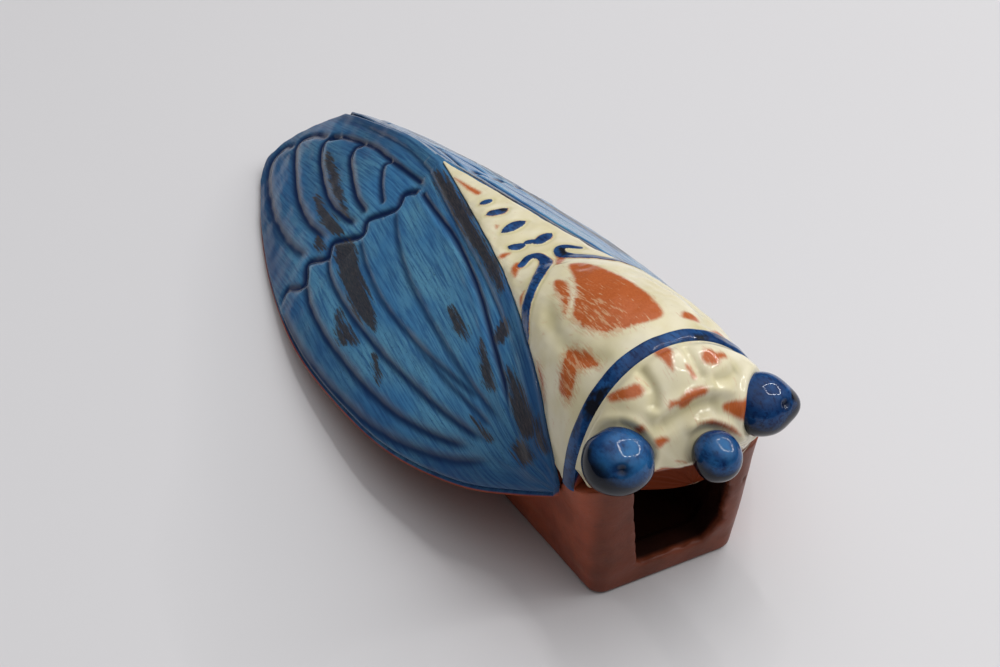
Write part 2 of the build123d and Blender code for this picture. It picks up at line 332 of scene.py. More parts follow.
# ---------------------------------------------------------------------------------------------------
# Meshes.
def new_object(name, points, faces, paint=None, sharp=None):
    """A mesh object from points in millimetres, with each paint layer kept as a point attribute."""
    mesh = bpy.data.meshes.new(name)
    mesh.from_pydata((np.asarray(points) * MM).tolist(), [], np.asarray(faces).tolist())
    for layer, values in (paint or {}).items():
        values = np.asarray(values, np.float32)
        if values.ndim == 2:
            mesh.attributes.new(layer, "FLOAT_VECTOR", "POINT").data.foreach_set("vector", values.ravel())
        else:
            mesh.attributes.new(layer, "FLOAT", "POINT").data.foreach_set("value", values)
    mesh.polygons.foreach_set("use_smooth", np.ones(len(mesh.polygons), bool))
    if sharp is not None:
        keys = np.empty(len(mesh.edges) * 2, np.int32)
        mesh.edges.foreach_get("vertices", keys)
        keys = keys.reshape(-1, 2)
        found = sharp[keys[:, 0]] & sharp[keys[:, 1]]
        mesh.attributes.new("sharp_edge", "BOOLEAN", "EDGE").data.foreach_set("value", found)
    mesh.validate()
    thing = bpy.data.objects.new(name, mesh)
    bpy.context.scene.collection.objects.link(thing)
    return thing


def grid_faces(rows, columns, start=0, flip=False):
    index = start + np.arange(rows * columns).reshape(rows, columns)
    faces = np.stack([index[:-1, :-1], index[1:, :-1], index[1:, 1:], index[:-1, 1:]], -1).reshape(-1, 4)
    return faces[:, ::-1] if flip else faces


def border(rows, columns):
    """The indices round the edge of a grid, in order."""
    index = np.arange(rows * columns).reshape(rows, columns)
    return np.concatenate([index[:-1, 0], index[-1, :-1], index[:0:-1, -1], index[0, :0:-1]])


def shell(name, sheet, under, mirrored=False):
    """A closed solid between a raised sheet and the grid under it."""
    top = sheet.raised()
    rows, columns = top.shape[:2]
    count = rows * columns
    edge = border(rows, columns)
    wall = np.stack([edge, edge + count, np.roll(edge, -1) + count, np.roll(edge, -1)], -1)
    faces = np.concatenate([grid_faces(rows, columns), grid_faces(rows, columns, count, True), wall[:, ::-1]])
    points = np.concatenate([top.reshape(-1, 3), under.reshape(-1, 3)])
    if mirrored:
        points = points * (-1, 1, 1)
        faces = faces[:, ::-1]
    paint = {"raw": np.repeat([0.0, 1.0], count)}
    for layer, values in sheet.paint.items():
        values = values.reshape(count, -1).squeeze()
        paint[layer] = np.concatenate([values, values])
    sharp = np.zeros(2 * count, bool)
    sharp[edge] = True
    sharp[edge + count] = True
    return new_object(name, points, faces, paint, sharp)


def under_sheet(points, thinnest):
    """The shell's underside: the hollow's ceiling, kept at least so far under the top."""
    under = points.copy()
    under[..., 2] = np.minimum(ceiling_height(points), points[..., 2] - thinnest)
    return under


# ---------------------------------------------------------------------------------------------------
# The wings: points are (place along Y, share of the way from the inner edge to the rim).
PLATE_EDGES = [
    # (points, from the tail or the inner edge), groove depth, groove width, ridge height
    ([(28.8, 0.15), (35.2, 0.23), (32.4, 0.30), (39.5, 0.43), (36, 0.50), (45, 0.62), (42.3, 0.69),
      (48.7, 0.78), (42.3, 0.85), (48.7, 0.93), (43.5, 1.0)], 1.15, 1.0, 0.45),
    ([(32.4, 0.30), (20, 0.36), (-2, 0.42), (-29, 0.45), (-58, 0.47), (-76, 0.48)], 0.45, 0.8, 0.25),
    ([(35.5, 0.51), (23, 0.545), (6, 0.57), (-14, 0.57), (-36, 0.54), (-65, 0.48)], 0.5, 0.8, 0.3),
    ([(-14, 0.565), (-36, 0.565), (-62, 0.557), (-72, 0.553)], 0.4, 0.7, 0.2),
    ([(44, 0.65), (38.7, 0.695), (28.8, 0.72), (-8, 0.72), (-36, 0.70), (-65, 0.68), (-75, 0.62)],
     0.7, 0.9, 0.45),
    ([(48.7, 0.785), (38.7, 0.84), (27, 0.862), (-8, 0.87), (-36, 0.855), (-58, 0.81), (-72, 0.73)],
     0.75, 1.0, 0.5),
    ([(43, 0.99), (10, 0.985), (-29, 0.97), (-50.5, 0.935), (-64.7, 0.885), (-74.6, 0.79), (-79, 0.68)],
     0.6, 1.0, 0.5),
    ([(54.5, 0.15), (55.5, 0.20), (50.5, 0.26), (43.5, 0.31), (39, 0.33)], 0.8, 0.9, 0.4),
    ([(76, 0.165), (79.5, 0.20), (77, 0.275), (67, 0.345), (54, 0.405), (41, 0.415)], 0.95, 1.0, 0.5),
    ([(93, 0.20), (99, 0.265), (97, 0.36), (86, 0.455), (68, 0.52), (51, 0.512), (40.5, 0.47)],
     0.95, 1.0, 0.5),
    ([(99, 0.26), (107, 0.30), (113.5, 0.40), (114, 0.50), (106, 0.58), (86, 0.672), (67, 0.682),
      (47, 0.632)],
     0.9, 1.1, 0.5),
    ([(114, 0.52), (120, 0.62), (120.5, 0.79), (112, 0.885), (85, 0.87), (63, 0.812), (49, 0.75)],
     0.7, 1.2, 0.4),
]
CELL_TOP = [
    (27.4, 0.152), (17.5, 0.146), (-2.3, 0.129), (-22, 0.146), (-36, 0.175), (-50.5, 0.223), (-65, 0.295),
    (-74.6, 0.40), (-77.4, 0.45),
]
BAND_EDGE = [
    (-60, 0.12), (-39, 0.107), (-22, 0.104), (4.7, 0.093), (27.4, 0.08), (42, 0.068), (63, 0.062),
    (105, 0.06),
]
TAIL_CHANNEL = [(28, 0.13), (42, 0.145), (57, 0.155), (70, 0.145), (79, 0.16), (91, 0.19), (98, 0.245)]
DRY_WING = [
    [(-4, 0.68), (-2, 0.65), (6, 0.616), (20, 0.58), (34.5, 0.55), (40, 0.57), (43, 0.616),
     (40, 0.648), (27, 0.677), (12, 0.693)],
    [(-2.5, 0.768), (8, 0.76), (17.5, 0.757), (14.7, 0.786), (5, 0.825), (1.5, 0.80)],
    [(-23, 0.80), (-14, 0.745), (-12, 0.755), (-19, 0.80)],
    [(-62.5, 0.357), (-48, 0.275), (-46.5, 0.295), (-58, 0.393)],
    [(-72, 0.62), (-62.5, 0.59), (-64, 0.615), (-70, 0.645)],
    [(50, 0.49), (63, 0.444), (77, 0.39), (90, 0.335), (91.5, 0.36), (82.6, 0.43), (67, 0.485), (56, 0.503)],
    [(45.5, 0.557), (57, 0.555), (73, 0.568), (74, 0.59), (60, 0.616), (48, 0.60)],
    [(45.5, 0.668), (55.7, 0.672), (51.5, 0.708)],
    [(-37, 0.02), (5, 0.008), (25, 0.022), (32, 0.052), (26, 0.07), (5, 0.083), (-14, 0.073), (-32, 0.064)],
    [(-82, 0.16), (-72, 0.17), (-61, 0.214), (-67, 0.27), (-80, 0.38)],
    [(-52, 0.09), (-47, 0.10), (-49, 0.20), (-53, 0.18)],
    [(-88, 0.10), (-83, 0.08), (-80, 0.13), (-85, 0.22)],
    [(-86, 0.42), (-81, 0.40), (-79, 0.55), (-84, 0.62)],
    [(-41, 0.33), (-30, 0.31), (-24, 0.33), (-33, 0.365)],
]


KNOBS = [
    # (place along Y, share across, radius, height) of the thumbed lumps and dents where the wing starts
    (-84, 0.34, 4.0, 1.1), (-80, 0.52, 2.6, -0.7), (-88, 0.15, 2.4, -0.5), (-87, 0.62, 2.6, 0.6),
    (-90.5, 0.4, 2.0, -0.5),
]


def wing_sheet():
    crowd = np.cos(np.linspace(0, pi / 2, 9))
    across = np.concatenate([np.linspace(0, 0.972, 146, endpoint=False), 1 - 0.028 * crowd])
    along = np.concatenate([np.linspace(0, 0.988, 420, endpoint=False), 1 - 0.012 * crowd])
    tip = [(x / follow(WING_HALF_WIDTH, y), y) for x, y in WING_TIP]
    tip[-1] = (1.0, tip[-1][1])
    end = follow(tip, across)
    v, u = np.meshgrid(along, across, indexing="ij")
    y = WING_FRONT + v * (end - WING_FRONT)
    wide = np.linalg.norm(wing_point(1 + 0 * y, y) - wing_point(0 * y, y), axis=-1)
    flow = np.stack([u * (30 + 0.6 * wide), y, 0 * u], -1)
    sheet = Sheet(wing_point, u, y, flow)
    groove, crest = np.zeros(u.shape), np.zeros(u.shape)
    for points, depth, width, ridge in PLATE_EDGES:
        distance, share, side = sheet.line(points)
        fade = smooth_step(0, 0.04, share) * smooth_step(1, 0.9, share)
        signed = distance * side
        sheet.height -= 0.6 * fade * depth * bump(distance, 1.4 * width)
        sheet.height += 0.38 * fade * ridge * bump(signed + 2.8 * width, 2.2 * width)
        # groove marks where the grooves are painted darker: pooled glaze and painted shade.
        groove = np.maximum(groove, fade * min(0.5 + 0.5 * depth, 1) * bump(signed - 0.1, 1.9 * width))
        # crest marks where the raised crests get a painted highlight.
        crest = np.maximum(crest, fade * bump(signed + 2.5 * width, 1.0 * width))
    distance, share, side = sheet.line(CELL_TOP)
    fade = smooth_step(1, 0.85, share)
    sheet.height += fade * (0.3 * bump(distance * side - 2.2, 1.3) - 0.6 * bump(distance, 0.9))
    groove = np.maximum(groove, fade * bump(distance, 1.2))
    distance, share, _ = sheet.line(BAND_EDGE)
    fade = smooth_step(0, 0.1, share) * smooth_step(1, 0.8, share)
    sheet.height -= fade * 0.45 * bump(distance, 0.8)
    groove = np.maximum(groove, 0.6 * fade * bump(distance, 1.0))
    distance, share, _ = sheet.line(TAIL_CHANNEL)
    fade = smooth_step(0, 0.1, share)
    sheet.height -= fade * 0.7 * bump(distance, 1.2)
    groove = np.maximum(groove, fade * bump(distance, 1.5))
    sheet.height += 0.07 * wavy(u * 75, y, 12, 3) + 0.012 * wavy(u * 75, y * 0.15, 2.2, 4)
    sheet.height += 1.8 * smooth_step(72, 112, y) * (1 - u**2)
    # The thumbed knob where the wing starts, and its dents.
    for place, share, size, height in KNOBS:
        sheet.height += height * bump(np.hypot(y - place, (u - share) * wide), size)
    # The glaze rounds over the rim, the tip and the inner edge.
    size_x = np.linalg.norm(np.gradient(sheet.base, axis=1), axis=-1)
    to_rim = np.flip(np.cumsum(np.flip(size_x, 1), 1), 1) - size_x
    size_y = np.linalg.norm(np.gradient(sheet.base, axis=0), axis=-1)
    to_tip = np.flip(np.cumsum(np.flip(size_y, 0), 0), 0) - size_y
    to_edge = np.minimum(to_rim, to_tip)
    radius = 1.1
    short = np.clip(radius - to_edge, 0, radius)
    sheet.height -= (radius - np.sqrt(radius**2 - short**2)) * 0.95
    to_inner = np.cumsum(size_x, 1) - size_x
    soft = np.clip(1.0 - to_inner, 0, 1)
    sheet.height += 0.35 * smooth_step(0, 1.5, to_inner) * (1 - smooth_step(3, 6, to_inner)) * (y < 40)
    sheet.height -= 0.5 * soft**2
    sheet.paint["groove"] = groove
    sheet.paint["crest"] = np.clip(crest, 0, 1)
    sheet.paint["dry"] = nearest(sheet.patch(points) for points in DRY_WING)
    # deep darkens the glaze towards the front, the rim, the inner edge and the tail: pooled glaze and painted
    # shade.
    front = smooth_step(-45, -92, y)
    sides = 0.8 * smooth_step(0.76, 1.0, u) + 0.6 * smooth_step(0.14, 0.06, u)
    tail = 0.45 * smooth_step(52, 80, y) + 0.4 * smooth_step(100, 120, y)
    sheet.paint["deep"] = np.clip(front + sides + tail, 0, 1)
    return sheet


def make_wings():
    sheet = wing_sheet()
    # The rim is cut square to the table, so its underside lies straight under its edge.
    under = under_sheet(sheet.base, RIM_BAND)
    wings = []
    for name, mirrored in (("right_wing", False), ("left_wing", True)):
        wings.append((shell(name, sheet, under, mirrored), name))
    return wings


# ---------------------------------------------------------------------------------------------------
# The body: points are (place along Y, angle in degrees from -90 at the left edge to 90).
HOOK = [
    (-60, -88), (-54, -70), (-50, -53), (-45, -35), (-40.5, -20), (-36.8, -11.5), (-33.6, -13),
    (-32.2, -24), (-34.2, -40),
]
HOOK_WIDTHS = [2.4, 2.1, 1.8, 1.8, 1.9, 2.0, 1.8, 1.5, 1.2]
LEAF = [0.05, 0.6, 0.86, 0.97, 1.0, 0.97, 0.86, 0.6, 0.05]
DROPS = [
    # (points along the middle of the mark, half width of the brush)
    ([(-22.6, -40), (-24.6, -27), (-24.2, -13)], 1.5),
    ([(-24.6, -6), (-25.6, 4), (-24.6, 15), (-22.8, 36)], 1.6),
    ([(-24.0, -16), (-24.4, -4), (-25.2, 8)], 1.1),
    ([(-15.2, -34), (-14.8, -16), (-13.8, 0), (-13.2, 22)], 1.75),
    ([(-4.2, -38), (-4.4, -18), (-4.6, 0), (-4, 19)], 1.45),
    ([(2.2, -33), (2.4, -12), (3, 10)], 1.2),
]
BARE_BODY = [
    [(-86.5, 0), (-85, 10), (-78, 14), (-70, 16.5), (-58, 15), (-48, 10), (-45.5, 2), (-47, -5), (-55, -13),
     (-62, -20), (-66, -27), (-72, -34), (-80, -28), (-84.5, -17)],
    [(-68, -37), (-61, -33), (-54, -31), (-51.5, -24), (-56, -20), (-63, -27)],
    [(-43, -9), (-40, -7), (-36.5, 3), (-38, 9), (-40.5, 3)],
    [(-89.5, -57), (-85, -62), (-82, -58), (-78, -48), (-80, -43), (-84, -37), (-89.5, -35), (-86.5, -46)],
    [(-80, -84), (-74, -82), (-71, -79), (-76, -77)],
    [(-38.5, -60), (-35, -63), (-32.5, -55), (-31.6, -44), (-33.5, -38), (-36.5, -50)],
    [(-51, -75), (-48.5, -64), (-46.5, -58), (-48, -72)],
    [(-88.5, 28), (-87, 19), (-84, 25), (-86, 31)],
    [(-95, 26), (-92, 30), (-90, 40), (-93, 42)],
    [(8, -15), (12, -32), (18, -44), (22, -55), (20, -30), (14, -8), (9, 6)],
    [(-12.5, -38), (-10.5, -33), (-11.5, -29)],
    [(-26, -42), (-24.6, -60), (-25.6, -78), (-27, -60)],
]
CRESCENTS = [
    # (points, depth, width): soft hollows pressed in the thorax
    ([(-91, -24), (-87, -36), (-80, -46), (-72, -50), (-64, -48), (-58, -38)], 0.75, 2.6),
    ([(-91, 24), (-87, 36), (-80, 46), (-72, 50), (-64, 48), (-58, 38)], 0.75, 2.6),
    ([(-44, -6), (-37, -2), (-32, 0)], 0.35, 2.0),
]


# The sides of the body stop short of the arch's ends, by this many degrees, beside the head.
BODY_TRIM = 6.5


def body_angles():
    return np.linspace(-90, 90, 240)


def body_sheet(start, end, rows):
    """A sheet of the body from one place along Y to another; either may change with the angle."""
    angle = body_angles()
    v = np.linspace(0, 1, rows)[:, None]
    y = start + v * (end - start) + 0 * angle
    a = angle * (1 - BODY_TRIM / 90 * smooth_step(-90, -96, y))
    flow = np.stack([np.radians(a) * follow(BODY_HALF_WIDTH, y), y, 0 * y], -1)
    sheet = Sheet(body_point, a, y, flow)
    for points, depth, width in CRESCENTS:
        distance, share, _ = sheet.line(points)
        fade = smooth_step(0, 0.2, share) * smooth_step(1, 0.8, share)
        sheet.height -= depth * fade * bump(distance, width)
    sheet.height += 0.5 * bump(np.hypot((y + 66) / 17, a / 22), 1.0)
    sheet.height += 0.10 * wavy(flow[..., 0], y, 11, 5) + 0.03 * wavy(flow[..., 0], y, 3.5, 6)
    other = [(place, -turn) for place, turn in HOOK]
    marks = [sheet.stroke(HOOK, HOOK_WIDTHS), sheet.stroke(other, HOOK_WIDTHS)]
    marks += [sheet.stroke(points, [1.12 * share * width for share in LEAF]) for points, width in DROPS]
    mark = nearest(marks)
    sheet.height += 0.16 * smooth_step(0.7, -0.7, mark) - 0.10 * bump(mark - 0.5, 0.5)
    sheet.paint["mark"] = mark
    sheet.paint["brush"] = 0.9 + 5.5 * smooth_step(2, -20, a) * smooth_step(-50, -60, y)
    sheet.paint["bare"] = nearest(sheet.patch(points) for points in BARE_BODY)
    # Darker cream in the crescents and beside the marks: pooled glaze and painted shade.
    hollow = nearest([sheet.line(points)[0] for points, _, _ in CRESCENTS])
    sheet.paint["pool_and_shade"] = np.clip(0.8 * bump(hollow, 2.4) + bump(mark - 0.6, 0.8), 0, 1)
    # A rounded groove where the body meets the wing's inner edge.
    to_edge = (90 - np.abs(a)) * np.radians(1) * np.maximum(follow(BODY_HALF_WIDTH, y), 2)
    sheet.height -= 0.35 * bump(to_edge, 0.8)
    return sheet


def make_body():
    angle = body_angles()
    half = COLLAR_WIDTH / 2
    trimmed = angle * (1 - BODY_TRIM / 90)
    front, back = collar_edge(trimmed, -half), collar_edge(trimmed, half)
    pieces = []
    for name, start, end, rows in (
        ("collar", front, back, 14),
        ("thorax", back, ABDOMEN_START, 150),
        ("abdomen", ABDOMEN_START, BODY_POINT - 0.6, 150),
    ):
        sheet = body_sheet(start, end, rows)
        if name == "collar":
            v = np.linspace(-1, 1, rows)[:, None]
            sheet.height += 0.75 * np.sqrt(np.maximum(1 - v**4, 0))
        under = under_sheet(sheet.base, 1.2)
        edge = sheet.base[:, :1, 2] - 0.4
        free = smooth_step(-84, -92, sheet.base[:, :1, 1])
        under[..., 2] += free * np.maximum(edge - under[..., 2], 0)
        pieces.append((shell(name, sheet, under), name))
    return pieces


# ---------------------------------------------------------------------------------------------------
# The head: points are (reach in degrees from the collar to the lip, angle).
LOBES = [
    # (centre, radius, height) of the lumps pressed up between the creases
    ((8, -29), 7.5, 1.1), ((6, -5), 5.5, 0.8), ((11, 14), 6.5, 1.1), ((28, -27), 4.0, 0.9),
    ((27, 27), 4.5, 0.7), ((4, 36), 6.0, 0.8),
]
CREASES = [
    # (points, depth, width); a negative depth is a ridge
    ([(1, -17), (8, -17), (15, -18), (20, -23)], 0.9, 1.5),
    ([(2, 4), (9, 3.5), (16, 4), (19, 6)], 0.6, 1.4),
    ([(14, 24), (18, 18), (20, 8)], 0.5, 1.6),
    ([(24, -27), (26, -20), (26, -8), (26, 3), (27, 12)], 1.0, 2.0),
    ([(21, -30), (21.5, -18), (22, -6), (22, 6), (22.5, 16), (23.5, 25)], -0.9, 1.8),
    ([(34, -14), (31.5, -6), (31.5, 3), (33, 12), (35, 21), (38, 31), (41, 40)], -0.9, 1.3),
    ([(12, -38), (18, -35), (24, -34)], 0.5, 1.4),
]
BARE_HEAD = [
    [(0.5, -34), (5, -34), (9, -30), (12.5, -24.5), (12, -20.5), (8, -21), (6, -26), (2, -31)],
    [(0, -8), (12, -6.8), (8, -4), (3, -1.5), (0, -2)],
    [(12, -0.8), (17, 0), (16.5, 2), (12, 1)],
    [(7, 12), (8.5, 8.5), (12, 7), (14, 9), (14, 13), (12, 16), (11, 19.5), (8.5, 19), (9, 15)],
    [(20, -14), (22, -16), (22.5, -12), (24.5, -10), (25, -6), (23.5, -3), (23, 3.5),
     (21, 4.5), (20, 1), (20, -5), (21, -10)],
    [(26, -30), (28, -32), (30, -31), (30.3, -27), (31, -24), (29, -24), (27, -27)],
    [(18.5, -34), (21, -34.5), (22, -31), (20, -30)],
    [(22, 30), (24.5, 26), (25.5, 20), (27, 14), (29, 14), (30.5, 19), (31.8, 27), (31, 33), (29, 37),
     (30, 45), (28, 51), (26.5, 45), (25, 36)],
    [(41, -29), (45, -24.5), (48, -22), (45.5, -22.5), (42.5, -26)],
]
ARCH_LINE = [(31.5, -3), (32.3, 4), (34, 12), (35.6, 20), (37.5, 30)]
LIP_EDGE = [
    (26, -85), (31, -68), (33, -50), (38, -41), (45, -33), (48, -28), (50, -22), (52, -15), (56, -5),
    (60, 10), (54, 30), (48, 45), (38, 60), (28, 75), (18, 86), (96, 96), (96, -96), (20, -96),
]


def lip_lift(x):
    """How far the lip was trimmed above the design at each x: more on the left, so it lies askew."""
    return 1.2 + 1.6 * smooth_step(18, -6, x)


def make_head():
    angle = np.linspace(-90, 90, 300)
    reach = np.linspace(0, 90, 130)
    b, a = np.meshgrid(reach, angle, indexing="ij")
    radius = np.linalg.norm(head_point(a, b) - HEAD_ORIGIN, axis=-1)
    flow = np.stack([np.radians(a) * 28, -radius * np.sin(np.radians(b)), 0 * a], -1)
    sheet = Sheet(head_point, a, b, flow)
    sheet.normal = smooth_normals(sheet.base)
    for (place, turn), size, height in LOBES:
        centre = head_point(np.array(float(turn)), np.array(float(place)))
        sheet.height += 1.3 * height * bump(np.linalg.norm(sheet.base - centre, axis=-1), size)
    for points, depth, width in CREASES:
        distance, share, _ = sheet.line(points)
        fade = smooth_step(0, 0.15, share) * smooth_step(1, 0.85, share)
        sheet.height -= 1.15 * depth * fade * bump(distance, width)
    for centre in (LEFT_EYE_CENTRE, RIGHT_EYE_CENTRE):
        rim = np.linalg.norm(sheet.base - np.array(centre), axis=-1) - EYE_RADIUS
        sheet.height += 0.8 * bump(rim - 0.8, 1.4)
    snout = np.linalg.norm(sheet.base - np.array(SNOUT_CENTRE), axis=-1) - SNOUT_RADIUS
    sheet.height -= 0.5 * bump(snout, 1.0)
    sheet.height *= smooth_step(0, 5, b)
    sheet.height += 0.11 * wavy(flow[..., 0], flow[..., 1], 7, 8) * smooth_step(0, 6, b)
    sheet.paint["mark"] = np.full(a.shape, 30.0)
    sheet.paint["brush"] = np.full(a.shape, 1.5)
    bare = [sheet.patch(points) for points in BARE_HEAD]
    bare.append(sheet.stroke(ARCH_LINE, [0.2, 0.8, 0.6, 0.8, 0.2]))
    bare.append(sheet.patch(LIP_EDGE))
    sheet.paint["bare"] = nearest(bare)
    # lip marks the strip above the mouth, whose bare clay gets painted shade.
    sheet.paint["lip"] = smooth_step(53, 50, sheet.base[..., 2])
    # Darker cream in the creases: pooled glaze and painted shade.
    creases = nearest([sheet.line(points)[0] for points, depth, _ in CREASES if depth > 0])
    sheet.paint["pool_and_shade"] = 0.8 * bump(creases, 2.0)
    # The lip was trimmed by hand, a little higher than the box's front and slightly askew.
    low = smooth_step(58, 42, sheet.base[..., 2]) * smooth_step(4, 16, radius)
    sheet.base[..., 2] += low * lip_lift(sheet.base[..., 0])
    thickness = 5.5 * smooth_step(0, 12, radius)
    inner = HEAD_ORIGIN + (sheet.base - HEAD_ORIGIN) * (1 - thickness / radius)[..., None]
    return [(shell("head_shield", sheet, inner), "head_shield")]


def smooth_normals(points):
    """Outward normals of a grid, from its own differences."""
    down, over = np.gradient(points, axis=0), np.gradient(points, axis=1)
    normal = np.cross(over, down)
    size = np.linalg.norm(normal, axis=-1, keepdims=True)
    fallback = points - HEAD_ORIGIN
    fallback /= np.linalg.norm(fallback, axis=-1, keepdims=True)
    normal = np.where(size > 1e-9, normal / np.maximum(size, 1e-9), fallback)
    return normal * np.sign((normal * fallback).sum(-1, keepdims=True))


# ---------------------------------------------------------------------------------------------------
# The eyes and the snout, balls of clay worked by hand.
def ball(name, centre, sizes, shape):
    """A finely divided ball whose radius is changed by shape(directions)."""
    mesh = bpy.data.meshes.new(name + "_form")
    form = bmesh.new()
    bmesh.ops.create_icosphere(form, subdivisions=7, radius=1)
    form.to_mesh(mesh)
    form.free()
    directions = np.array([v.co for v in mesh.vertices])
    faces = np.array([p.vertices for p in mesh.polygons])
    bpy.data.meshes.remove(mesh)
    radius, paint = shape(directions)
    points = np.array(centre) + directions * np.array(sizes) * radius[:, None]
    return new_object(name, points, faces, paint)


def toward(directions, aim):
    """The angle in degrees between each direction and an aim."""
    aim = np.array(aim, float) / np.linalg.norm(aim)
    return np.degrees(np.arccos(np.clip(directions @ aim, -1, 1)))


EYE_SIZES = {"left_eye": (9.2, 9.0, 8.2), "right_eye": (8.5, 8.5, 8.0)}
EYE_SHIFT = {"left_eye": (0.1, 0, -1.0), "right_eye": (-0.7, 0.2, 1.1)}
EYE_POINT = (0.88, -0.46, -0.05)
EYE_PUPIL = (0.34, -0.79, 0.51)
EYE_MIDDLE = (0.10, -0.62, 0.78)
SNOUT_SIZES = (6.2, 6.6, 6.4)
SNOUT_SHIFT = (0.9, 0, -1.1)


def eye_shape(side):
    """The eye's hand-worked form: a point drawn outwards, a pricked pupil, a painted light on the middle,
    painted shade at the foot.
    """
    def shape(directions):
        point = toward(directions, (side * EYE_POINT[0], EYE_POINT[1], EYE_POINT[2]))
        pupil = toward(directions, (side * EYE_PUPIL[0], EYE_PUPIL[1], EYE_PUPIL[2]))
        lumps = wavy(directions[:, 0] + directions[:, 2], directions[:, 1], 1.1, 20 + side)
        drawn_out = 0.19 if side > 0 else 0.05
        radius = 1 + drawn_out * bump(point, 27) - 0.10 * bump(pupil, 8) + 0.012 * lumps
        height = directions[:, 2] - 0.35 * directions[:, 1] - 0.25 * side * directions[:, 0]
        # The lighter middle is painted light.
        middle = toward(directions, (side * EYE_MIDDLE[0], EYE_MIDDLE[1], EYE_MIDDLE[2]))
        lit = 0.0 if side > 0 else 0.9
        # low darkens the lower side: pooled glaze and painted shade.
        paint = {
            "pupil": bump(pupil, 12),
            "iris": lit * bump(middle + 6 * lumps, 44),
            "low": smooth_step(0.62, 0.12, height + 0.09 * lumps),
            "raw": 0 * radius,
        }
        return radius, paint

    return shape


def snout_shape(directions):
    lumps = wavy(directions[:, 0], directions[:, 2] + directions[:, 1], 1.2, 31)
    radius = 1 + 0.03 * bump(toward(directions, (0, -1, -0.1)), 40) + 0.012 * lumps
    # The lighter middle is painted light.
    middle = toward(directions, (-0.1, -0.60, 0.80)) + 6 * lumps
    height = directions[:, 2] - 0.35 * directions[:, 1]
    # low darkens the lower side: pooled glaze and painted shade.
    paint = {
        "pupil": 0 * radius,
        "iris": 0.8 * bump(middle, 44),
        "low": smooth_step(0.58, 0.10, height),
        "raw": 0 * radius,
    }
    return radius, paint


def make_balls():
    pieces = []
    for side, name, centre in ((-1, "left_eye", LEFT_EYE_CENTRE), (1, "right_eye", RIGHT_EYE_CENTRE)):
        moved = np.add(centre, EYE_SHIFT[name])
        pieces.append((ball(name, moved, EYE_SIZES[name], eye_shape(side)), name))
    moved = np.add(SNOUT_CENTRE, SNOUT_SHIFT)
    pieces.append((ball("snout", moved, SNOUT_SIZES, snout_shape), "snout"))
    return pieces


# ---------------------------------------------------------------------------------------------------
# The pocket box: the slab and the walls, fused and softened like wet clay.
BOX_DRAFT = 8.0
BOX_FRONT_Y = -101.2
BOX_TAIL_Y = 84.0
BOX_HALF_WIDTH = [(BOX_FRONT_Y, 21.4), (-20, 28), (22, 28), (BOX_TAIL_Y, 15)]
BOX_VOXEL = 0.65
CORNER_FLARE = 2.4
PIT_PLACE = (21.0, -103.8, 27.5)
PIT_RADIUS = 0.9
PIT_DEPTH = 0.9
BOX_NODES = ("back_slab", "mouth_wall", "left_wall", "right_wall", "tail_wall")


def fused(name, nodes, voxel, overlap):
    """One mesh round several touching CAD nodes."""
    points, faces, start = [], [], 0
    for node in nodes:
        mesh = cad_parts[node].data
        co = np.array([v.co for v in mesh.vertices])
        normals = np.array([v.normal for v in mesh.vertices])
        points.append(co / MM + normals * overlap)
        faces += [[start + i for i in p.vertices] for p in mesh.polygons]
        start += len(co)
    mesh = bpy.data.meshes.new(name)
    mesh.from_pydata((np.concatenate(points) * MM).tolist(), [], faces)
    thing = bpy.data.objects.new(name, mesh)
    bpy.context.scene.collection.objects.link(thing)
    remesh = thing.modifiers.new("remesh", "REMESH")
    remesh.mode = "VOXEL"
    remesh.voxel_size = voxel * MM
    soften = thing.modifiers.new("soften", "SMOOTH")
    soften.factor = 0.5
    soften.iterations = 4
    solid = bpy.data.meshes.new_from_object(thing.evaluated_get(bpy.context.evaluated_depsgraph_get()))
    thing.modifiers.clear()
    thing.data = solid
    solid.name = name
    bpy.data.meshes.remove(mesh)
    return thing


